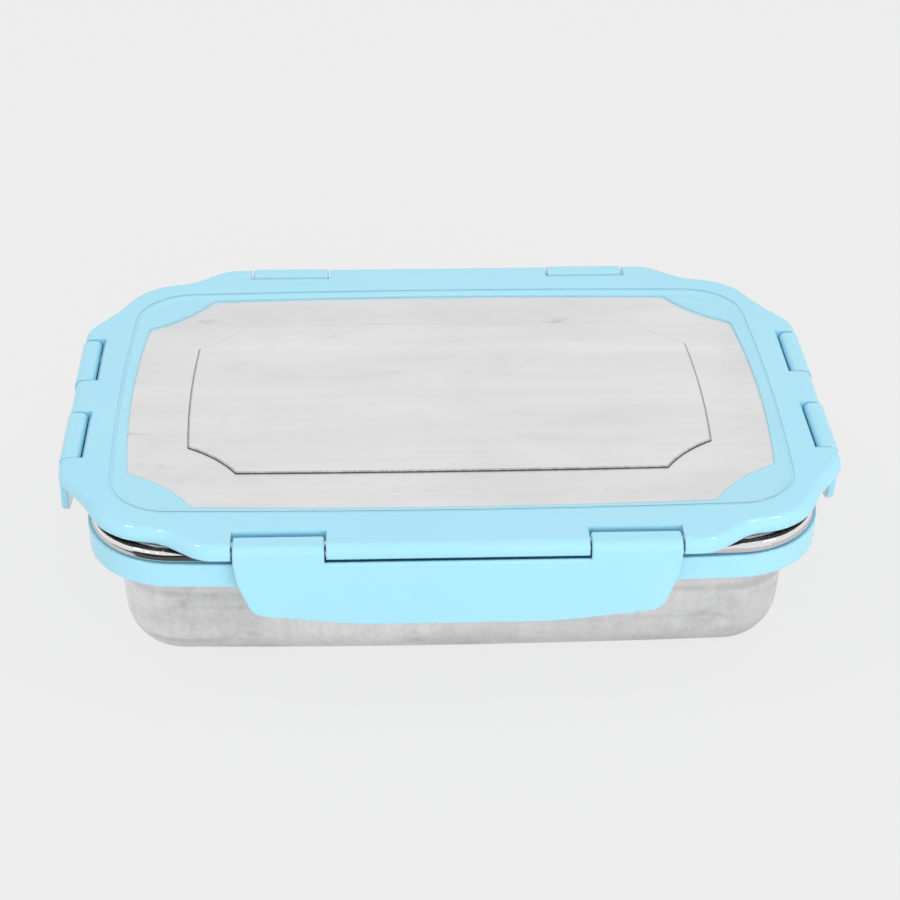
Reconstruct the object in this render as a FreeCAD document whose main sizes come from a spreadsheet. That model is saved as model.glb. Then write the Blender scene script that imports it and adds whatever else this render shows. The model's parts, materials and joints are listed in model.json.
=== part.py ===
"""Steel lunch box with a snap-on plastic lid, as a parametric FreeCAD document.

+Z is up, +X is the long way and -Y is the front. The origin is on the table under the
middle of the tray. Millimetres throughout.
"""
import FreeCAD, Part
import math
import os
import Sketcher

os.makedirs("parts", exist_ok=True)
doc = FreeCAD.newDocument("lunch_box")
V = FreeCAD.Vector

# ---------------------------------------------------------------- driving dimensions
DIMENSIONS = [
    ("plate_level", 47.5, "top of the steel lid plate above the table"),
    ("mouth_length", 96.3, "half length of the tray wall under its rim"),
    ("mouth_width", 72.9, "half width of the tray wall under its rim"),
    ("mouth_corner", 19.0, "plan radius of the tray corners"),
    ("side_bow", 1.3, "how far each long or short side bows out"),
    ("sheet", 0.6, "steel sheet of the tray"),
    ("wall_draft", 4.0, "lean of the tray wall in degrees"),
    ("floor_fillet", 14.0, "radius between tray wall and floor"),
    ("flange_drop", 4.4, "tray flange below the lid plate"),
    ("mouth_round", 1.0, "rounding of the tray's inner upper edge"),
    ("bead_reach", 6.1, "outer edge of the rolled rim outside the wall"),
    ("bead_width", 2.8, "width of the rolled rim"),
    ("bead_height", 2.9, "height of the rolled rim"),
    ("bead_rise", 0.6, "top of the rolled rim above the flange"),
    ("collar_reach", 6.9, "outer face of the collar outside the wall"),
    ("collar_top_drop", 6.6, "collar top below the lid plate"),
    ("collar_seat_drop", 6.8, "collar seat under the rolled rim below the lid plate"),
    ("collar_lip", 0.6, "thickness of the collar's outer lip"),
    ("collar_foot_round", 0.9, "rounding of the collar's outer foot"),
    ("channel_depth", 5.2, "depth of the hollows under the collar"),
    ("plastic_wall", 1.6, "usual wall of the plastic parts"),
    ("collar_foot_drop", 14.2, "collar foot below the lid plate"),
    ("ledge_reach", 108.8, "outer face of the collar's side ledges"),
    ("ledge_half", 31.0, "half length of a side ledge at its outer face"),
    ("rim_rise", 1.1, "lid rim above the lid plate"),
    ("skirt_drop", 3.5, "lid skirt below the lid plate"),
    ("rim_round", 2.6, "rounding of the lid's upper edge"),
    ("skirt_round", 1.4, "rounding of the lid's lower edge"),
    ("crest_length", 97.0, "half length of the crest line round the lip"),
    ("crest_width", 65.3, "half width of the crest line round the lip"),
    ("crest_corner", 17.0, "plan radius of the crest line's corners"),
    ("lip_slope", 78.0, "slope of the lip inside the crest, in degrees off vertical"),
    ("crest_groove", 0.9, "width of the shallow groove along the crest line"),
    ("groove_depth", 0.25, "depth of that groove"),
    ("window_round", 3.0, "rounding of the window's corners"),
    ("lid_skin", 1.8, "underside of the lid's thin part below the plate"),
    ("lip_rise", 0.5, "plastic lip round the window above the plate"),
    ("plate_sheet", 0.5, "steel sheet of the lid plate"),
    ("plate_length", 96.4, "half length of the lid plate"),
    ("plate_width", 65.4, "half width of the lid plate"),
    ("emboss_rise", 0.6, "raised panel above the rest of the plate"),
    ("plug_drop", 7.0, "foot of the lid's locating wall below the plate"),
    ("plug_reach", -3.2, "outer face of the locating wall from the tray wall"),
    ("seal_reach", -1.0, "edge of the seal's wiping lip from the tray wall"),
    ("seal_face_reach", 1.0, "outer edge of the seal's flat face from the tray wall"),
    ("seal_face", 0.65, "thickness of the seal's flat face"),
    ("seal_height", 2.8, "height of the seal's band"),
    ("seal_lip_drop", 5.6, "upper side of the wiping lip below the lid plate"),
    ("seal_lip", 0.5, "thickness of the wiping lip"),
    ("ear_front", 82.8, "front and back edge of the lid from the middle"),
    ("ear_side", 111.3, "left and right edge of the lid from the middle"),
    ("notch_front", 74.5, "inner wall of the front and back hinge notches"),
    ("notch_side", 104.5, "inner wall of the side hinge notches"),
    ("pin_front", 77.8, "hinge axis of the front and back flaps"),
    ("pin_side", 107.8, "hinge axis of the side flaps"),
    ("pin_drop", 1.0, "hinge axes below the lid plate"),
    ("pin_radius", 0.8, "radius of the steel hinge pins"),
    ("pin_fit", 0.02, "radial play of a pin in the lid"),
    ("knuckle_fit", 0.08, "radial play of a pin in a flap's knuckles"),
    ("knuckle_gap", 0.5, "gap between a knuckle and each end of its notch"),
    ("long_lug_inner", 35.4, "near end of a front or back notch"),
    ("long_lug_outer", 61.0, "far end of a front or back notch"),
    ("short_lug_inner", 9.2, "near end of a side notch"),
    ("short_lug_outer", 35.1, "far end of a side notch"),
    ("long_pin_half", 64.5, "half length of the front and back pins"),
    ("short_pin_half", 38.5, "half length of the side pins"),
    ("barrel_radius", 2.0, "half thickness of a flap's knuckles, round the hinge axis"),
    ("flap_thickness", 2.1, "flap wall"),
    ("long_flap_stand", 0.6, "front and back flap faces outside the lid's edge"),
    ("short_flap_stand", 0.3, "side flap faces outside the lid's edge"),
    ("long_flap_lean", 0.7, "outward lean of a hanging front or back flap at its foot"),
    ("short_flap_lean", 1.7, "outward lean of a hanging side flap at its foot"),
    ("flap_foot_drop", 23.7, "foot of a flap below the lid plate"),
    ("flap_top_drop", 3.8, "top of the flap's skirt between its knuckles"),
    ("flap_edge_round", 0.8, "rounding of the flap's outer edges"),
    ("ear_clearance", 0.45, "gap between the turning flap and the lid's ear"),
    ("catch_reach", 1.2, "catch ridge inside the flap's inner face"),
    ("catch_drop", 14.8, "upper edge of the catch ridge below the lid plate"),
]

sheet = doc.addObject("Spreadsheet::Sheet", "Dimensions")
for row, (alias, value, meaning) in enumerate(DIMENSIONS, start=1):
    sheet.set(f"A{row}", meaning)
    sheet.set(f"B{row}", str(value))
    sheet.setAlias(f"B{row}", alias)
doc.recompute()


def size(alias):
    return float(getattr(sheet, alias))


PLATE = size("plate_level")


# ---------------------------------------------------------------- sketch helpers
def plane(body, role):
    return next(f for f in body.Origin.OriginFeatures if f.Role == role)


def new_body(label):
    body = doc.addObject("PartDesign::Body", label)
    body.Label = label
    return body


def new_sketch(body, name, role="XY_Plane", level=None):
    """A sketch on an origin plane; level is an expression for its height over XY."""
    sketch = body.newObject("Sketcher::SketchObject", name)
    sketch.AttachmentSupport = [(plane(body, role), "")]
    sketch.MapMode = "FlatFace"
    if level:
        sketch.setExpression(".AttachmentOffset.Base.z", level)
    return sketch


def join(sketch, pieces):
    """Add a closed loop of edges, each ending where the next one starts."""
    for here, there in zip(pieces, pieces[1:] + pieces[:1]):
        if ends(here)[1].distanceToPoint(ends(there)[0]) > 1e-6:
            raise ValueError(f"open outline in {sketch.Name}")
    sketch.addGeometry(pieces, False)


def ends(piece):
    shape = piece.toShape()
    return shape.valueAt(shape.FirstParameter), shape.valueAt(shape.LastParameter)


def bow_frame(half_x, half_y, corner):
    """Centres and radii of the long side, short side and corner arcs of a bowed outline."""
    bow = size("side_bow")
    long_radius = ((half_x - corner) ** 2 + bow**2) / (2 * bow)
    short_radius = ((half_y - corner) ** 2 + bow**2) / (2 * bow)
    long_centre = V(0, half_y - long_radius, 0)
    short_centre = V(half_x - short_radius, 0, 0)
    # the corner circle touches both side circles from inside
    apart = long_centre.distanceToPoint(short_centre)
    to_long = long_radius - corner
    to_short = short_radius - corner
    along = (to_long**2 - to_short**2 + apart**2) / (2 * apart)
    across = math.sqrt(to_long**2 - along**2)
    unit = (short_centre - long_centre).normalize()
    centre = long_centre + unit * along + V(unit.y, -unit.x, 0) * across
    return (long_centre, long_radius), (short_centre, short_radius), (centre, corner)


def bowed(sketch, reach=0.0, half_x=None, half_y=None, corner=None):
    """Rounded rectangle with bowed sides, grown outwards by reach from the given size.

    The eight arcs keep their centres as the outline grows, so any two of these outlines
    are exactly parallel.
    """
    half_x = half_x or size("mouth_length")
    half_y = half_y or size("mouth_width")
    corner = corner or size("mouth_corner")
    (long_c, long_r), (short_c, short_r), (centre, radius) = bow_frame(half_x, half_y, corner)
    meets_long = long_c + (centre - long_c).normalize() * (long_r + reach)
    meets_short = short_c + (centre - short_c).normalize() * (short_r + reach)
    middle = centre + ((meets_long + meets_short) * 0.5 - centre).normalize() * (radius + reach)
    turns = [(1, 1), (-1, 1), (-1, -1), (1, -1)]
    corners = []
    for sx, sy in turns:
        points = [V(p.x * sx, p.y * sy, 0) for p in (meets_short, middle, meets_long)]
        corners.append(points if sx * sy > 0 else points[::-1])
    pieces = []
    for i, (sx, sy) in enumerate(turns):
        following = (i + 1) % 4
        along_x = sy == turns[following][1]
        crown = V(0, sy * (half_y + reach), 0) if along_x else V(sx * (half_x + reach), 0, 0)
        pieces.append(Part.Arc(*corners[i]))
        pieces.append(Part.Arc(corners[i][-1], crown, corners[following][0]))
    join(sketch, pieces)


def reach_of(point):
    """How far a point lies outside the tray wall's outline at its mouth."""
    sizes = size("mouth_length"), size("mouth_width"), size("mouth_corner")
    (long_c, long_r), (short_c, short_r), (centre, radius) = bow_frame(*sizes)
    here = V(abs(point.x), abs(point.y), 0)
    turn = math.atan2(here.y - centre.y, here.x - centre.x)
    to_short = centre - short_c
    to_long = centre - long_c
    if turn < math.atan2(to_short.y, to_short.x):
        return here.distanceToPoint(short_c) - short_r
    if turn > math.atan2(to_long.y, to_long.x):
        return here.distanceToPoint(long_c) - long_r
    return here.distanceToPoint(centre) - radius


def cornered(sketch, corners):
    """Closed outline of straight lines with a rounded corner at each (x, y, radius)."""
    count = len(corners)
    runs = []
    for i in range(count):
        x, y, radius = corners[i]
        here = V(x, y, 0)
        back = (V(*corners[i - 1][:2], 0) - here).normalize()
        on = (V(*corners[(i + 1) % count][:2], 0) - here).normalize()
        if radius == 0:
            runs.append((here, None, here))
            continue
        half = back.getAngle(on) / 2
        reach = radius / math.tan(half)
        centre = here + (back + on).normalize() * (radius / math.sin(half))
        middle = centre + (here - centre).normalize() * radius
        runs.append((here + back * reach, middle, here + on * reach))
    pieces = []
    for i, (start, middle, end) in enumerate(runs):
        if middle:
            pieces.append(Part.Arc(start, middle, end))
        pieces.append(Part.LineSegment(end, runs[(i + 1) % count][0]))
    join(sketch, pieces)


def bulged(sketch, corners):
    """Closed outline of arcs from corner to corner; each (x, y, rise of the next arc)."""
    pieces = []
    for i, (x, y, rise) in enumerate(corners):
        start = V(x, y, 0)
        end = V(*corners[(i + 1) % len(corners)][:2], 0)
        run = end - start
        outward = V(run.y, -run.x, 0).normalize()
        pieces.append(Part.Arc(start, (start + end) * 0.5 + outward * rise, end))
    join(sketch, pieces)


def box(sketch, x0, x1, y0, y1):
    cornered(sketch, [(x0, y0, 0), (x1, y0, 0), (x1, y1, 0), (x0, y1, 0)])


def all_round(quarter):
    """Corners of the first quadrant, from the X axis on, mirrored into all four."""
    back = [(-x, y, r) for x, y, r in reversed(quarter)]
    half = quarter + back
    return half + [(-x, -y, r) for x, y, r in half]


# ---------------------------------------------------------------- feature helpers
def swell(body, kind, name, sketch, length, **options):
    """A Pad or Pocket whose length is an expression of the sheet."""
    feature = body.newObject(f"PartDesign::{kind}", name)
    feature.Profile = sketch
    feature.setExpression("Length", length)
    for key, value in options.items():
        setattr(feature, key, value)
    doc.recompute()
    return feature


def edges_where(body, test):
    """Names of the edges whose points all pass the test."""
    found = []
    for number, edge in enumerate(body.Shape.Edges, start=1):
        points = edge.discretize(5)
        if all(test(p) for p in points):
            found.append(f"Edge{number}")
    return found


def blend(body, name, radius, test):
    """A Fillet of the edges that pass the test."""
    names = edges_where(body, test)
    if not names:
        raise ValueError(f"no edge to round in {name}")
    base = body.Tip
    feature = body.newObject("PartDesign::Fillet", name)
    feature.Base = (base, names)
    feature.setExpression("Radius", radius)
    doc.recompute()
    return feature


def at_level(level, slack=0.02):
    return lambda p: abs(p.z - level) < slack


# ---------------------------------------------------------------- steel tray
def tapered_block(body, name, reach, foot, rounding):
    """Block that leans in from the mouth outline down to foot, with a round lower edge."""
    at_flange = "Dimensions.plate_level - Dimensions.flange_drop"
    mouth = new_sketch(body, name + "_mouth", level=at_flange)
    bowed(mouth, reach)
    block = swell(body, "Pad", name + "_block", mouth, f"{at_flange} - {foot}", Reversed=True)
    block.setExpression("TaperAngle", "-Dimensions.wall_draft")
    doc.recompute()
    level = min(v.Z for v in body.Shape.Vertexes)
    blend(body, name + "_round", rounding, at_level(level))


def make_tray():
    """Deep-drawn tray: leaning bowed walls, a round floor edge and a rolled rim."""
    hollow = new_body("tray_hollow")
    tapered_block(hollow, "well", -size("sheet"), "Dimensions.sheet",
                  "Dimensions.floor_fillet - Dimensions.sheet")
    body = new_body("steel_tray")
    tapered_block(body, "tray", 0, "0", "Dimensions.floor_fillet")
    top = PLATE - size("flange_drop")
    crown = top + size("bead_rise")
    at_flange = "Dimensions.plate_level - Dimensions.flange_drop"
    flange = new_sketch(body, "tray_flange", level=at_flange)
    bowed(flange, size("bead_reach") - 0.5)
    bowed(flange, -size("sheet") / 2)
    swell(body, "Pad", "flange_sheet", flange, "Dimensions.sheet", Reversed=True)
    bead = new_sketch(body, "rolled_rim", level=at_flange + " + Dimensions.bead_rise")
    bowed(bead, size("bead_reach"))
    bowed(bead, size("bead_reach") - size("bead_width"))
    swell(body, "Pad", "rim_roll", bead, "Dimensions.bead_height", Reversed=True)

    blend(body, "rim_inner_round", "Dimensions.bead_rise * 0.9",
          lambda p: abs(p.z - crown) < 0.02 and reach_of(p) < size("bead_reach") - 1)
    blend(body, "rim_roll_round", "Dimensions.bead_width * 0.47",
          lambda p: abs(p.z - crown) < 0.02 and reach_of(p) > size("bead_reach") - 0.1)
    blend(body, "rim_foot_round", "Dimensions.bead_width * 0.3",
          lambda p: abs(p.z - crown + size("bead_height")) < 0.02 and reach_of(p) > 1)
    opening = body.newObject("PartDesign::Boolean", "tray_opening")
    opening.Type = "Cut"
    opening.Group = [hollow]
    doc.recompute()
    blend(body, "mouth_round", "Dimensions.mouth_round",
          lambda p: abs(p.z - top) < 0.02 and reach_of(p) < -0.1)
    return body


# ---------------------------------------------------------------- plastic collar
def make_collar():
    """Collar under the tray's rim, with a hollow underside and a catch ledge at each end."""
    body = new_body("base_collar")
    foot = "Dimensions.plate_level - Dimensions.collar_foot_drop"
    seat = "Dimensions.plate_level - Dimensions.collar_seat_drop"
    ring = new_sketch(body, "collar_ring", level=foot)
    bowed(ring, size("collar_reach"))
    swell(body, "Pad", "collar_block", ring,
          "Dimensions.collar_foot_drop - Dimensions.collar_seat_drop")
    blend(body, "collar_foot_round", "Dimensions.collar_foot_round",
          at_level(PLATE - size("collar_foot_drop")))
    for side in (-1, 1):
        ledge = new_sketch(body, "catch_ledge" + "ab"[side > 0], level=foot)
        root = size("mouth_length") + size("collar_reach") - 4
        tip = size("ledge_reach")
        half = size("ledge_half")
        corners = [(root, -half - 6, 0), (tip, -half, 3), (tip, half, 3), (root, half + 6, 0)]
        cornered(ledge, [(side * x, side * y, r) for x, y, r in corners])
        swell(body, "Pad", "ledge" + "ab"[side > 0], ledge,
              "Dimensions.collar_foot_drop - Dimensions.collar_seat_drop")
    lip = new_sketch(body, "collar_lip", level=seat)
    bowed(lip, size("collar_reach"))
    bowed(lip, size("collar_reach") - size("collar_lip"))
    swell(body, "Pad", "outer_lip", lip, "Dimensions.collar_seat_drop - Dimensions.collar_top_drop")
    rest = new_sketch(body, "flange_rest", level=seat)
    bowed(rest, size("bead_reach") - size("bead_width") - 0.2)
    bowed(rest, -1.5)
    swell(body, "Pad", "inner_rest", rest,
          "Dimensions.collar_seat_drop - Dimensions.flange_drop - Dimensions.sheet - 0.05")
    at_flange = "Dimensions.plate_level - Dimensions.flange_drop"
    bore = new_sketch(body, "tray_bore", level=at_flange)
    bowed(bore, 0.05)
    well = swell(body, "Pocket", "tray_seat", bore, "Dimensions.collar_foot_drop")
    well.setExpression("TaperAngle", "-Dimensions.wall_draft")
    doc.recompute()
    channel = new_sketch(body, "channel", level=foot)
    wall = size("plastic_wall")
    bowed(channel, size("collar_reach") - wall)
    bowed(channel, wall - 0.3)
    swell(body, "Pocket", "collar_channel", channel, "Dimensions.channel_depth", Reversed=True)
    cells = new_sketch(body, "ledge_cells", level=foot)
    inner = size("mouth_length") + size("collar_reach") + 0.9
    outer = size("ledge_reach") - wall
    third = (2 * size("ledge_half") - 4 * wall) / 3
    for side in (-1, 1):
        for cell in (-1, 0, 1):
            middle = cell * (third + wall)
            box(cells, side * inner, side * outer, middle - third / 2, middle + third / 2)
    swell(body, "Pocket", "ledge_pockets", cells, "Dimensions.channel_depth", Reversed=True)
    return body


# ---------------------------------------------------------------- lid
def eight_sided(sketch, long_end, short_end, rises, grow=0.0):
    """Rectangle with cut corners; rises are those of a corner, a long and a short edge."""
    x1, y1 = long_end
    x2, y2 = short_end
    corner, long_rise, short_rise = rises
    x1, y1, x2, y2 = x1 + grow / 2, y1 + grow, x2 + grow, y2 + grow / 2
    bulged(sketch, [
        (x2, y2, corner), (x1, y1, long_rise), (-x1, y1, corner), (-x2, y2, short_rise),
        (-x2, -y2, corner), (-x1, -y1, long_rise), (x1, -y1, corner), (x2, -y2, short_rise),
    ])


def rounded_rectangle(sketch, half_x, half_y, radius):
    cornered(sketch, all_round([(half_x, half_y, radius)]))


def notch_boxes(sketch):
    """The eight hinge notches, open to the lid's edge."""
    front = size("notch_front"), size("ear_front") + 5
    side = size("notch_side"), size("ear_side") + 5
    for sx in (-1, 1):
        for sy in (-1, 1):
            box(sketch, sx * size("long_lug_inner"), sx * size("long_lug_outer"),
                sy * front[0], sy * front[1])
            box(sketch, sx * side[0], sx * side[1],
                sy * size("short_lug_inner"), sy * size("short_lug_outer"))


def make_lid_frame():
    """Moulded lid frame: ears for the flaps, a window for the plate and a locating wall."""
    body = new_body("lid_frame")
    top = PLATE + size("rim_rise")
    foot = PLATE - size("skirt_drop")
    at_foot = "Dimensions.plate_level - Dimensions.skirt_drop"
    at_top = "Dimensions.plate_level + Dimensions.rim_rise"
    under_plate = "Dimensions.plate_level - Dimensions.plate_sheet"
    outline = new_sketch(body, "lid_outline", level=at_foot)
    cornered(outline, all_round([
        (size("ear_side"), 42.2, 10), (103.2, 54.4, 40), (95.1, 71.0, 20),
        (80.3, 73.9, 12), (69.2, size("ear_front"), 12),
    ]))
    swell(body, "Pad", "lid_slab", outline, "Dimensions.rim_rise + Dimensions.skirt_drop")
    blend(body, "rim_rounding", "Dimensions.rim_round", at_level(top))
    blend(body, "skirt_rounding", "Dimensions.skirt_round", at_level(foot))
    crest = new_sketch(body, "crest_line", level=at_top)
    bowed(crest, 0, size("crest_length"), size("crest_width"), size("crest_corner"))
    dish = swell(body, "Pocket", "dished_lip", crest, "Dimensions.rim_rise - Dimensions.lip_rise")
    dish.setExpression("TaperAngle", "-Dimensions.lip_slope")
    doc.recompute()
    groove = new_sketch(body, "crest_groove_ring", level=at_top)
    for reach in (size("crest_groove") / 2, -size("crest_groove") / 2):
        bowed(groove, reach, size("crest_length"), size("crest_width"), size("crest_corner"))
    swell(body, "Pocket", "crest_groove", groove, "Dimensions.groove_depth")
    window = new_sketch(body, "window", level=at_top)
    eight_sided(window, (72.5, 61.0), (91.5, 43.0), (-2.0, 1.7, 2.3))
    swell(body, "Pocket", "plate_window", window, "Dimensions.rim_rise + Dimensions.plate_sheet")

    def window_corner(p):
        on_long = abs(abs(p.x) - 72.5) < 0.01 and abs(abs(p.y) - 61.0) < 0.01
        return on_long or abs(abs(p.x) - 91.5) < 0.01 and abs(abs(p.y) - 43.0) < 0.01

    blend(body, "window_corners", "Dimensions.window_round", window_corner)
    slot = new_sketch(body, "plate_slot", level="Dimensions.plate_level")
    rounded_rectangle(slot, size("plate_length") + 0.1, size("plate_width") + 0.1, 16)
    swell(body, "Pocket", "plate_groove", slot, "Dimensions.plate_sheet")
    below = new_sketch(body, "lower_opening", level=under_plate)
    rounded_rectangle(below, 90.5, 60.5, 14)
    swell(body, "Pocket", "lower_window", below, "Dimensions.skirt_drop")
    inside = size("plug_reach") - size("plastic_wall")
    recess = new_sketch(body, "lid_recess", level=at_foot)
    bowed(recess, inside)
    swell(body, "Pocket", "recess", recess, "Dimensions.skirt_drop - Dimensions.lid_skin",
          Reversed=True)
    plug = new_sketch(body, "locating_wall", level=at_foot)
    bowed(plug, size("plug_reach"))
    bowed(plug, inside)
    swell(body, "Pad", "plug_wall", plug, "Dimensions.plug_drop - Dimensions.skirt_drop",
          Reversed=True)
    notches = new_sketch(body, "hinge_notches", level=at_top)
    notch_boxes(notches)
    swell(body, "Pocket", "notches", notches, "Dimensions.rim_rise + Dimensions.skirt_drop + 1")
    hole = size("pin_radius") + size("pin_fit")
    level = PLATE - size("pin_drop")
    for name, role, reach, half in (
        ("long_bores", "YZ_Plane", "pin_front", "long_pin_half"),
        ("short_bores", "XZ_Plane", "pin_side", "short_pin_half"),
    ):
        bores = new_sketch(body, name, role)
        for side in (-1, 1):
            centre = V(side * size(reach), level, 0)
            bores.addGeometry(Part.Circle(centre, V(0, 0, 1), hole), False)
        swell(body, "Pocket", name + "_cut", bores, f"Dimensions.{half} * 2", Midplane=True)
    return body


def make_lid_plate():
    """Sheet steel plate with a raised eight-sided panel pressed in it."""
    body = new_body("lid_plate")
    under = "Dimensions.plate_level - Dimensions.plate_sheet"
    outline = new_sketch(body, "plate_outline", level=under)
    rounded_rectangle(outline, size("plate_length"), size("plate_width"), 16)
    swell(body, "Pad", "plate_blank", outline, "Dimensions.plate_sheet")
    panel = (61.0, 43.0), (75.0, 29.0), (-1.3, 0.5, 1.0)
    raised = new_sketch(body, "raised_panel", level="Dimensions.plate_level")
    eight_sided(raised, *panel, grow=0.5)
    swell(body, "Pad", "emboss", raised, "Dimensions.emboss_rise", TaperAngle=-40)
    sunk = new_sketch(body, "sunk_panel", level=under)
    eight_sided(sunk, *panel)
    swell(body, "Pocket", "emboss_back", sunk, "Dimensions.emboss_rise", Reversed=True,
          TaperAngle=-40)
    return body


def make_lid_seal():
    """Silicone seal on the locating wall: a flat face, a band and one wiping lip."""
    body = new_body("lid_seal")
    inner = size("plug_reach")
    face = new_sketch(body, "seal_face", level="Dimensions.plate_level - Dimensions.skirt_drop")
    bowed(face, size("seal_face_reach"))
    bowed(face, inner)
    swell(body, "Pad", "face", face, "Dimensions.seal_face", Reversed=True)
    band = new_sketch(body, "seal_band", level="Dimensions.plate_level - Dimensions.skirt_drop")
    bowed(band, inner + 1.2)
    bowed(band, inner)
    swell(body, "Pad", "band", band, "Dimensions.seal_height", Reversed=True)
    lip = new_sketch(body, "seal_lip", level="Dimensions.plate_level - Dimensions.seal_lip_drop")
    bowed(lip, size("seal_reach"))
    bowed(lip, inner)
    swell(body, "Pad", "lip", lip, "Dimensions.seal_lip", Reversed=True)
    return body


# ---------------------------------------------------------------- flaps and hinge pins
def make_flap(label, kind, axis, edge, turn):
    """Snap flap: two knuckles in the lid's notches, a hanging skirt and a catch ridge.

    It is drawn at the front and turned about Z into its place. kind is long or short, and
    axis and edge name the sheet's cells for the hinge axis and the lid's edge.
    """
    body = new_body(label)
    near = kind + "_lug_inner"
    far = kind + "_lug_outer"
    face = size(edge) + size(kind + "_flap_stand")
    inner = face - size("flap_thickness")
    lean = size(kind + "_flap_lean")
    barrel = size("barrel_radius")
    knuckle = size(axis) - barrel
    crown = PLATE - size("pin_drop") + barrel
    under = PLATE - size("pin_drop") - barrel
    foot = PLATE - size("flap_foot_drop")
    half = size(far) - size("knuckle_gap")
    section = new_sketch(body, label + "_section", "YZ_Plane")
    cornered(section, [
        (-face, crown, 2.4), (-knuckle, crown, barrel - 0.05), (-knuckle, under, barrel - 0.05),
        (-inner, under, 0), (-inner - lean, foot - 2, 0), (-face - lean, foot - 2, 0),
    ])
    swell(body, "Pad", label + "_bar", section,
          f"(Dimensions.{far} - Dimensions.knuckle_gap) * 2", Midplane=True)
    outline = new_sketch(body, label + "_outline", "XZ_Plane")
    outer = half + 20
    cornered(outline, [
        (-outer, foot - 10, 0), (outer, foot - 10, 0), (outer, PLATE + 20, 0), (-outer, PLATE + 20, 0),
    ])
    shape = [
        (half, PLATE + 10, 0), (half, PLATE - 5, 40), (half - 1.0, PLATE - 10.5, 14),
        (half - 4.9, PLATE - 20.4, 5), (half * 0.45, foot, half * 1.7),
    ]
    mirrored = [(-x, z, r) for x, z, r in reversed(shape)]
    cornered(outline, shape + mirrored)
    swell(body, "Pocket", label + "_silhouette", outline, "Dimensions.ear_side * 3", Midplane=True)
    gap = new_sketch(body, label + "_gap", "XZ_Plane")
    clear = size(near) + size("knuckle_gap")
    box(gap, -clear, clear, PLATE - size("flap_top_drop"), PLATE + 10)
    swell(body, "Pocket", label + "_centre", gap, "Dimensions.ear_side * 3", Midplane=True)
    scoop = new_sketch(body, label + "_scoop", "YZ_Plane")
    hinge = V(-size(axis), PLATE - size("pin_drop"), 0)
    sweep = size(edge) - size(axis) + size("ear_clearance")
    scoop.addGeometry(Part.Circle(hinge, V(0, 0, 1), sweep), False)
    swell(body, "Pocket", label + "_ear_relief", scoop,
          f"(Dimensions.{near} + Dimensions.knuckle_gap) * 2", Midplane=True)

    def on_face(p):
        share = (crown - p.z) / (crown - foot + 2)
        return abs(-p.y - face - lean * share) < 0.02 and p.z < PLATE - 1.3

    blend(body, label + "_face_round", "Dimensions.flap_edge_round", on_face)
    ridge = new_sketch(body, label + "_ridge", "YZ_Plane")
    catch = PLATE - size("catch_drop")
    root = inner + lean * (crown - catch) / (crown - foot + 2)
    tip = root - size("catch_reach")
    cornered(ridge, [
        (-root - 1, catch, 0), (-tip, catch, 0.4), (-tip, catch - 1.3, 0.4),
        (-root - 1, catch - 3.6, 0),
    ])
    swell(body, "Pad", label + "_catch", ridge, f"(Dimensions.{far} - 16) * 2", Midplane=True)
    bore = new_sketch(body, label + "_bore", "YZ_Plane")
    radius = size("pin_radius") + size("knuckle_fit")
    bore.addGeometry(Part.Circle(hinge, V(0, 0, 1), radius), False)
    swell(body, "Pocket", label + "_pin_hole", bore, f"Dimensions.{far} * 2", Midplane=True)
    body.Placement = FreeCAD.Placement(V(0, 0, 0), FreeCAD.Rotation(V(0, 0, 1), turn))
    return body


def make_pin(label, axis, half, turn):
    """Steel hinge pin through one flap's knuckles and the lid's ear."""
    body = new_body(label)
    section = new_sketch(body, label + "_section", "YZ_Plane")
    centre = V(-size(axis), PLATE - size("pin_drop"), 0)
    section.addGeometry(Part.Circle(centre, V(0, 0, 1), size("pin_radius")), False)
    swell(body, "Pad", label + "_rod", section, f"Dimensions.{half} * 2 - 0.2", Midplane=True)
    body.Placement = FreeCAD.Placement(V(0, 0, 0), FreeCAD.Rotation(V(0, 0, 1), turn))
    return body


parts = [make_tray(), make_collar(), make_lid_frame(), make_lid_plate(), make_lid_seal()]
for side, turn in (("front", 0), ("right", 90), ("back", 180), ("left", 270)):
    if side in ("front", "back"):
        kind, axis, edge = "long", "pin_front", "ear_front"
    else:
        kind, axis, edge = "short", "pin_side", "ear_side"
    parts.append(make_flap(side + "_flap", kind, axis, edge, turn))
    parts.append(make_pin(side + "_hinge_pin", axis, kind + "_pin_half", turn))
doc.recompute()

# ---------------------------------------------------------------- check and export
for item in doc.Objects:
    if "Invalid" in item.State or "Error" in item.State:
        raise ValueError(f"{item.Label} did not compute: {item.State}")
for part in parts:
    if part.Shape.isNull() or not part.Shape.isValid():
        raise ValueError(f"{part.Label} has no valid shape")
    if len(part.Shape.Solids) != 1:
        raise ValueError(f"{part.Label} has {len(part.Shape.Solids)} solids")
for part in parts:
    part.Shape.exportStep(f"parts/{part.Label}.step")
    print(part.Label, round(part.Shape.Volume), len(part.Shape.Faces))
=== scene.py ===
"""Looks of a stainless steel lunch box with a light blue snap lid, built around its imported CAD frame."""

import json
import math

import bmesh
import bpy
from mathutils import Matrix, Vector


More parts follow.
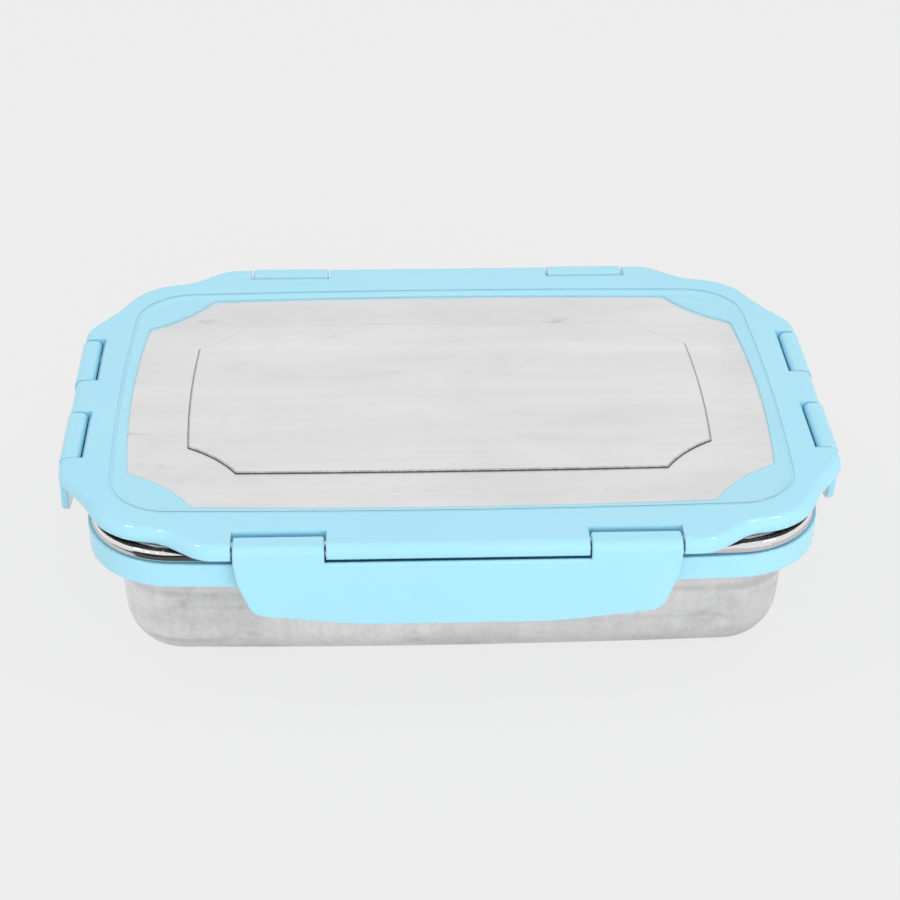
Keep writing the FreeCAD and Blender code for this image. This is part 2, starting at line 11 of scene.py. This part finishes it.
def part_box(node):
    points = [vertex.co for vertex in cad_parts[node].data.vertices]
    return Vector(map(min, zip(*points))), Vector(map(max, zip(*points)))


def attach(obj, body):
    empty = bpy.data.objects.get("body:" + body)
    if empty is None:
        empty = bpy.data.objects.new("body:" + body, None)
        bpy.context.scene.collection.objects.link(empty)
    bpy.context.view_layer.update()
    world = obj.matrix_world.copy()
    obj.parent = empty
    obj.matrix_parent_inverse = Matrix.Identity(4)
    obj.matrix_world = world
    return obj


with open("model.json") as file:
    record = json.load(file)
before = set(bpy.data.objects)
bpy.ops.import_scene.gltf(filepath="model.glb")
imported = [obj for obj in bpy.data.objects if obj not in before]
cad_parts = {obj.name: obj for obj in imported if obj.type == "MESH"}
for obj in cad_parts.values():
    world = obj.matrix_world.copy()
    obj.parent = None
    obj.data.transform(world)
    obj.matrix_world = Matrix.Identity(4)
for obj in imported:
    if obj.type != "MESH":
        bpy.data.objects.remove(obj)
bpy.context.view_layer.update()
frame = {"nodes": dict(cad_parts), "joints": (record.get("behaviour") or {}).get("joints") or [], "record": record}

MM = 0.001
NODES = frame["nodes"]
SLOTS = {row["node"]: row["material_slot"] for row in frame["record"]["subparts"]}
LID_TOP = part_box("lid_frame")[1].z
RIM_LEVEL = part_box("steel_tray")[1].z
PLATE_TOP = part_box("lid_plate")[1].z

BLACK = (0.0, 0.0, 0.0, 1.0)
PALE_GREY = (0.855, 0.855, 0.855, 1.0)  # floor and backdrop, as the camera sees them
WARM_TABLE = (0.62, 0.56, 0.56, 1.0)  # the floor, as the mirror-bright rim sees it
DARK_WALL_AND_PAINTED_SHADE = (0.032, 0.025, 0.025, 1.0)  # the studio's dark end; also painted shade in the slot under the lid and a painted dark patch on the floor, seen only in mirror-bright steel
SKY = 0.76  # strength of the even light from all round


# ---------------------------------------------------------------- node helpers
class Graph:
    """The node tree of a world or a material, with one short method for each kind of node used here."""

    def __init__(self, owner):
        owner.use_nodes = True
        self.tree = owner.node_tree

    def add(self, kind, **properties):
        node = self.tree.nodes.new(kind)
        for name, value in properties.items():
            setattr(node, name, value)
        return node

    def feed(self, node, socket, value):
        """Links a node's output to a socket, or sets the socket's own value."""
        if isinstance(value, bpy.types.NodeSocket):
            self.tree.links.new(value, node.inputs[socket])
        else:
            node.inputs[socket].default_value = value

    def noise(self, vector, scale, detail, roughness=0.5, distortion=0.0):
        node = self.add("ShaderNodeTexNoise")
        self.feed(node, "Vector", vector)
        self.feed(node, "Scale", scale)
        self.feed(node, "Detail", detail)
        self.feed(node, "Roughness", roughness)
        self.feed(node, "Distortion", distortion)
        return node.outputs["Fac"]

    def span(self, value, low, high, to_low=0.0, to_high=1.0):
        """Maps low..high to to_low..to_high, and holds it there outside."""
        node = self.add("ShaderNodeMapRange", interpolation_type="SMOOTHSTEP")
        self.feed(node, "Value", value)
        self.feed(node, "From Min", low)
        self.feed(node, "From Max", high)
        self.feed(node, "To Min", to_low)
        self.feed(node, "To Max", to_high)
        return node.outputs["Result"]

    def maths(self, operation, first, second):
        node = self.add("ShaderNodeMath", operation=operation)
        self.feed(node, 0, first)
        self.feed(node, 1, second)
        return node.outputs[0]

    def product(self, *values):
        total = values[0]
        for value in values[1:]:
            total = self.maths("MULTIPLY", total, value)
        return total

    def along(self, vector, axis):
        node = self.add("ShaderNodeSeparateXYZ")
        self.feed(node, "Vector", vector)
        return node.outputs[axis]

    def lies_level(self):
        """1 where the surface lies flat, and 0 where it stands upright."""
        facing = self.add("ShaderNodeNewGeometry").outputs["True Normal"]
        return self.maths("ABSOLUTE", self.along(facing, "Z"), 0.0)

    def mix(self, share, first, second):
        node = self.add("ShaderNodeMix", data_type="RGBA")
        self.feed(node, 0, share)
        self.feed(node, 6, first)
        self.feed(node, 7, second)
        return node.outputs[2]

    def soft_edges(self, radius):
        """The surface's normal, turned over gradually within a radius of each sharp edge."""
        node = self.add("ShaderNodeBevel", samples=8)
        self.feed(node, "Radius", radius)
        return node.outputs["Normal"]

    def flatness(self, radius):
        """1 away from sharp edges, and less within a radius of one."""
        node = self.add("ShaderNodeVectorMath", operation="DOT_PRODUCT")
        self.feed(node, 0, self.soft_edges(radius))
        self.feed(node, 1, self.add("ShaderNodeNewGeometry").outputs["Normal"])
        return node.outputs["Value"]

    def bump(self, value, depth, strength=1.0, below=None):
        node = self.add("ShaderNodeBump")
        self.feed(node, "Height", value)
        self.feed(node, "Distance", depth)
        self.feed(node, "Strength", strength)
        if below is not None:
            self.feed(node, "Normal", below)
        return node.outputs["Normal"]

    def blend(self, share, first, second):
        node = self.add("ShaderNodeMixShader")
        self.feed(node, 0, share)
        self.feed(node, 1, first)
        self.feed(node, 2, second)
        return node.outputs["Shader"]

    def seen(self):
        """1 for what the camera, a reflection or a refraction sees, and 0 for diffuse light."""
        path = self.add("ShaderNodeLightPath").outputs
        total = path["Is Camera Ray"]
        for name in ("Is Glossy Ray", "Is Transmission Ray"):
            total = self.maths("MAXIMUM", total, path[name])
        return total

    def mirrored(self):
        """1 for what a mirror-bright surface reflects."""
        path = self.add("ShaderNodeLightPath").outputs
        return self.product(path["Is Singular Ray"], self.maths("SUBTRACT", 1.0, path["Is Camera Ray"]))


class Finish(Graph):
    """A new material, with its shader and the object's own coordinates."""

    def __init__(self, name):
        self.material = bpy.data.materials.new(name)
        super().__init__(self.material)
        self.shader = self.tree.nodes["Principled BSDF"]
        self.output = self.tree.nodes["Material Output"]
        self.place = self.add("ShaderNodeTexCoord").outputs["Object"]

    def set(self, **values):
        for socket, value in values.items():
            self.feed(self.shader, socket.replace("_", " "), value)

    def stretched(self, x, y, z):
        """The object's own coordinates, scaled along each axis."""
        mapping = self.add("ShaderNodeMapping")
        self.feed(mapping, "Vector", self.place)
        self.feed(mapping, "Scale", (x, y, z))
        return mapping.outputs["Vector"]

    def height(self):
        return self.along(self.place, "Z")

    def slot_painted_shade(self):
        """1 where the polished rim mirrors the unlit faces over it, under the closed lid; there the faces get
        painted shade.
        """
        geometry = self.add("ShaderNodeNewGeometry").outputs
        level = self.along(geometry["Position"], "Z")
        turned_up = self.along(geometry["True Normal"], "Z")
        above_rim = self.span(level, RIM_LEVEL - 2.0 * MM, RIM_LEVEL - 1.0 * MM)
        under_lid = self.span(level, LID_TOP - 2.0 * MM, LID_TOP, 1.0, 0.0)
        unlit = self.span(turned_up, -0.1, 0.2, 1.0, 0.0)
        return self.product(above_rim, under_lid, unlit, self.mirrored())


def dress(node_name, material):
    """Gives a CAD piece its only material."""
    data = NODES[node_name].data
    data.materials.clear()
    data.materials.append(material)


# ---------------------------------------------------------------- finishes
def blue_plastic():
    """Glossy moulded polypropylene, a little milky, with a faint flow pattern and fine scuffs."""
    g = Finish("moulded_blue_plastic")
    deep_blue, light_blue = (0.386, 0.757, 0.918, 1), (0.400, 0.773, 0.930, 1)
    flow = g.noise(g.place, 18, detail=2)
    wear = g.noise(g.place, 900, detail=2)
    peel = g.noise(g.place, 260, detail=1)
    blue = g.mix(g.span(flow, 0.3, 0.7), deep_blue, light_blue)
    g.set(
        # painted shade: the faces over the rim turn dark where the rim mirrors them under the lid
        Base_Color=g.mix(g.slot_painted_shade(), blue, DARK_WALL_AND_PAINTED_SHADE),
        Roughness=g.span(wear, 0.30, 0.75, 0.08, 0.13),
        IOR=1.49,
        Subsurface_Weight=0.12,
        Subsurface_Radius=(0.6, 0.9, 1.0),
        Subsurface_Scale=0.0015,
        Normal=g.bump(peel, 0.012 * MM, 0.35, below=g.soft_edges(0.8 * MM)),
    )
    return g.material


def plate_steel():
    """Lid plate: satin sheet steel, wiped lengthwise, with smears, a few marks, and painted shade with painted
    glints at the panel's raised edge and along sharp edges.
    """
    g = Finish("plate_steel_brushed")
    grain = g.noise(g.stretched(14, 1500, 1500), 1.0, detail=5, roughness=0.6)
    bands = g.noise(g.stretched(7, 90, 90), 1.0, detail=4, roughness=0.6)
    haze = g.noise(g.stretched(18, 22, 20), 1.0, detail=5, roughness=0.6, distortion=0.6)
    marks = g.noise(g.stretched(55, 120, 100), 1.0, detail=3, distortion=0.5)
    painted_glints = g.noise(g.place, 750, detail=2)
    # painted shade on the panel's upright step, darkest at its foot, with painted glints in it
    painted_shade_foot, painted_shade_top = PLATE_TOP - 0.42 * MM, PLATE_TOP - 0.14 * MM
    painted_step_shade = g.product(
        g.span(g.height(), painted_shade_foot, painted_shade_top, 0.16, 1.0),
        g.span(painted_glints, 0.40, 0.65, 0.72, 1.0),
    )
    shade = g.product(
        g.span(bands, 0.30, 0.72, 1.0, 0.94),
        g.span(haze, 0.35, 0.70, 1.0, 0.93),
        g.span(marks, 0.66, 0.80, 1.0, 0.84),
        # painted shade along every sharp edge
        g.span(g.flatness(0.7 * MM), 0.90, 0.995, 0.50, 1.0),
        g.maths("MAXIMUM", g.span(g.lies_level(), 0.80, 0.98), painted_step_shade),
    )
    g.set(
        Base_Color=g.mix(shade, BLACK, (0.90, 0.90, 0.90, 1)),
        Metallic=1.0,
        Roughness=g.span(grain, 0.25, 0.75, 0.30, 0.42),
        Normal=g.bump(grain, 0.012 * MM, 0.5),
    )
    return g.material


def tray_steel():
    """Drawn steel tray: clouded walls with painted shade that darkens them towards the foot, and a polished rolled
    rim.
    """
    g = Finish("tray_steel_drawn")
    cloud = g.noise(g.stretched(26, 26, 40), 1.0, detail=6, roughness=0.62, distortion=0.5)
    blots = g.noise(g.stretched(60, 60, 85), 1.0, detail=4, roughness=0.6, distortion=0.4)
    rings = g.noise(g.stretched(9, 9, 230), 1.0, detail=3)
    wipes = g.noise(g.stretched(420, 420, 26), 1.0, detail=3)
    specks = g.noise(g.stretched(700, 700, 520), 1.0, detail=3, roughness=0.7)
    ripple = g.noise(g.place, 110, detail=2)
    foot_height = 13 * MM
    on_rim = g.span(g.height(), RIM_LEVEL - 4 * MM, RIM_LEVEL - 3.4 * MM)
    wall = g.product(
        g.span(cloud, 0.36, 0.68, 1.0, 0.85),
        g.span(blots, 0.55, 0.76, 1.0, 0.80),
        g.span(rings, 0.54, 0.72, 1.0, 0.86),
        g.span(wipes, 0.30, 0.80, 1.0, 0.92),
        g.span(specks, 0.35, 0.75, 1.0, 0.90),
        # painted shade: the walls darken towards the foot
        g.span(g.height(), 0.0, foot_height, 0.58, 1.0),
    )
    shade = g.maths("MAXIMUM", wall, on_rim)
    matt = g.span(cloud, 0.3, 0.7, 0.26, 0.40)
    off_rim = g.maths("SUBTRACT", 1.0, on_rim)
    waves = g.bump(ripple, 0.45 * MM, on_rim)
    g.set(
        Base_Color=g.mix(shade, BLACK, (0.87, 0.87, 0.87, 1)),
        Metallic=1.0,
        Roughness=g.maths("MULTIPLY", matt, off_rim),
        Normal=g.bump(cloud, 0.10 * MM, 0.3, below=waves),
    )
    return g.material


def pin_steel():
    """Bright drawn wire, with a faint turned grain."""
    g = Finish("hinge_pin_steel")
    grain = g.noise(g.stretched(400, 400, 400), 1.0, detail=2)
    g.set(
        Base_Color=(0.72, 0.72, 0.71, 1),
        Metallic=1.0,
        Roughness=g.span(grain, 0.3, 0.7, 0.18, 0.3),
    )
    return g.material


def silicone():
    """Milky silicone, matt and slightly see-through."""
    g = Finish("seal_silicone")
    dull_white, clear_white = (0.80, 0.82, 0.83, 1), (0.86, 0.87, 0.88, 1)
    dust = g.noise(g.place, 300, detail=3)
    g.set(
        Base_Color=g.mix(g.span(dust, 0.3, 0.7), dull_white, clear_white),
        Roughness=0.5,
        IOR=1.41,
        Subsurface_Weight=0.35,
        Subsurface_Radius=(1.0, 1.0, 1.0),
        Subsurface_Scale=0.002,
        Normal=g.bump(dust, 0.02 * MM, 0.3),
    )
    return g.material


FINISHES = {
    "blue_plastic": blue_plastic(),
    "plate_steel": plate_steel(),
    "tray_steel": tray_steel(),
    "pin_steel": pin_steel(),
    "silicone": silicone(),
}
for node_name in NODES:
    dress(node_name, FINISHES[SLOTS[node_name]])


# ---------------------------------------------------------------- lid webs under the side lugs
def make_hinge_seats():
    """Webs moulded on the lid that curve under the side flaps' lugs, so no slot shows beside a lug."""
    pivot = next(Vector(row["pos_m"]) for row in frame["joints"] if row["name"] == "right_flap_hinge")
    radius, wall, foot = 2.45 * MM, -3.4 * MM, -2.7 * MM
    near_end, far_end = 9.0 * MM, 35.3 * MM
    first_turn, last_turn, steps = 175, 250, 10
    turns = [first_turn + (last_turn - first_turn) * step / steps for step in range(steps + 1)]
    arc = [(radius * math.cos(math.radians(turn)), radius * math.sin(math.radians(turn))) for turn in turns]
    tip = arc[-1][0]
    soft_corner = (tip + 0.1 * MM, foot + 0.15 * MM)
    profile = [(wall, foot), (wall, arc[0][1])] + arc + [soft_corner, (tip, foot)]
    shell = bmesh.new()
    for side in (-1, 1):
        for start, end in ((-far_end, -near_end), (near_end, far_end)):
            near, far = (
                [shell.verts.new((side * (pivot.x + x), y, pivot.z + z)) for x, z in profile]
                for y in (start, end)
            )
            shell.faces.new(near)
            shell.faces.new(far)
            for i in range(len(profile)):
                shell.faces.new((near[i - 1], near[i], far[i], far[i - 1]))
    bmesh.ops.recalc_face_normals(shell, faces=shell.faces)
    mesh = bpy.data.meshes.new("lid_hinge_seats")
    shell.to_mesh(mesh)
    shell.free()
    mesh.shade_smooth()
    mesh.set_sharp_from_angle(angle=math.radians(35))
    mesh.materials.append(FINISHES["blue_plastic"])
    seats = bpy.data.objects.new("lid_hinge_seats", mesh)
    bpy.context.scene.collection.objects.link(seats)
    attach(seats, "lid")


make_hinge_seats()


# ---------------------------------------------------------------- floor, light and camera
def make_world():
    """Even light. Mirror-bright steel also sees the dark end of the studio, to the left of the camera."""
    world = bpy.data.worlds.new("studio")
    bpy.context.scene.world = world
    g = Graph(world)
    light = g.tree.nodes["Background"]
    g.feed(light, "Color", (1, 1, 1, 1))
    g.feed(light, "Strength", SKY)
    way = g.add("ShaderNodeTexCoord").outputs["Generated"]
    rise = g.along(way, "Z")
    at_left = g.span(g.along(way, "X"), -0.08, 0.04, 1.0, 0.0)
    in_front = g.span(g.along(way, "Y"), -0.62, -0.35, 1.0, 0.0)
    from_table = g.span(rise, -0.02, 0.01)
    to_ceiling = g.span(rise, 0.70, 0.78, 1.0, 0.0)
    wall = g.product(at_left, in_front, from_table, to_ceiling, g.mirrored())
    shown = g.add("ShaderNodeBackground")
    g.feed(shown, "Color", g.mix(wall, PALE_GREY, DARK_WALL_AND_PAINTED_SHADE))
    g.feed(shown, "Strength", 1.0)
    both = g.blend(g.seen(), light.outputs[0], shown.outputs[0])
    g.feed(g.tree.nodes["World Output"], "Surface", both)


def make_floor():
    """Pale paper that shows the backdrop's grey, keeps a faint shadow, and is clear from below.

    Mirror-bright steel sees it warmer, and sees a painted dark patch on it in front of the box and to its left,
    towards the dark end of the studio.
    """
    size, drop = 6.0, -0.1 * MM
    mesh = bpy.data.meshes.new("floor")
    corners = [(-size, -size, drop), (size, -size, drop), (size, size, drop), (-size, size, drop)]
    mesh.from_pydata(corners, [], [(0, 1, 2, 3)])
    floor = bpy.data.objects.new("floor", mesh)
    bpy.context.scene.collection.objects.link(floor)
    g = Finish("floor_paper")
    g.set(Base_Color=(0.82, 0.82, 0.82, 1), Roughness=0.9, Specular_IOR_Level=0.0)
    # painted dark patch, seen only in mirror-bright steel: the floor in front of the box and to its left
    at_left = g.span(g.along(g.place, "X"), -0.04, -0.01, 1.0, 0.0)
    in_front = g.span(g.along(g.place, "Y"), -0.12, -0.10, 1.0, 0.0)
    in_rim = g.mix(g.product(at_left, in_front), WARM_TABLE, DARK_WALL_AND_PAINTED_SHADE)
    glow = g.add("ShaderNodeEmission")
    g.feed(glow, "Color", g.mix(g.mirrored(), PALE_GREY, in_rim))
    glow_share = g.product(g.seen(), 0.92)
    paper = g.blend(glow_share, g.shader.outputs[0], glow.outputs[0])
    clear = g.add("ShaderNodeBsdfTransparent").outputs[0]
    from_below = g.add("ShaderNodeNewGeometry").outputs["Backfacing"]
    g.feed(g.output, "Surface", g.blend(from_below, paper, clear))
    mesh.materials.append(g.material)


def make_lamp(name, place, width, height, power, mirrored=True):
    """A rectangular lamp aimed at the origin. Reflections show it only where mirrored is set."""
    data = bpy.data.lights.new(name, "AREA")
    data.shape = "RECTANGLE"
    data.size = width
    data.size_y = height
    data.energy = power
    lamp = bpy.data.objects.new(name, data)
    bpy.context.scene.collection.objects.link(lamp)
    lamp.visible_camera = False
    lamp.visible_glossy = mirrored
    lamp.location = place
    lamp.rotation_euler = (-Vector(place)).to_track_quat("-Z", "Y").to_euler()


def make_camera():
    """A long lens, a little above the box and turned slightly to its left."""
    pitch, yaw, roll = (math.radians(a) for a in (31.48, 2.52, -0.49))
    distance, shift_right, shift_up = 657.7 * MM, 1.1 * MM, -17.7 * MM
    forward = Vector((math.cos(pitch) * math.sin(yaw), math.cos(pitch) * math.cos(yaw), -math.sin(pitch)))
    level = Vector((math.cos(yaw), -math.sin(yaw), 0))
    upright = level.cross(forward)
    data = bpy.data.cameras.new("camera")
    data.sensor_width = 36
    data.lens = 88
    camera = bpy.data.objects.new("camera", data)
    bpy.context.scene.collection.objects.link(camera)
    right = level * math.cos(roll) - upright * math.sin(roll)
    up = level * math.sin(roll) + upright * math.cos(roll)
    turn = Matrix((right, up, -forward)).transposed().to_4x4()
    aim = Vector((0, 0, LID_TOP))
    place = aim + level * shift_right + upright * shift_up - forward * distance
    camera.matrix_world = Matrix.Translation(place) @ turn
    bpy.context.scene.camera = camera


bpy.context.scene.view_settings.view_transform = "Standard"
make_world()
make_floor()
make_lamp("key_left", (-0.6, 0.0, 1.1), width=0.14, height=0.14, power=1.5)
make_lamp("key_right", (0.6, 0.0, 1.1), width=0.14, height=0.14, power=1.5)
make_lamp("fill", (0.3, -1.15, 0.30), width=1.2, height=0.4, power=5.4, mirrored=False)
make_camera()
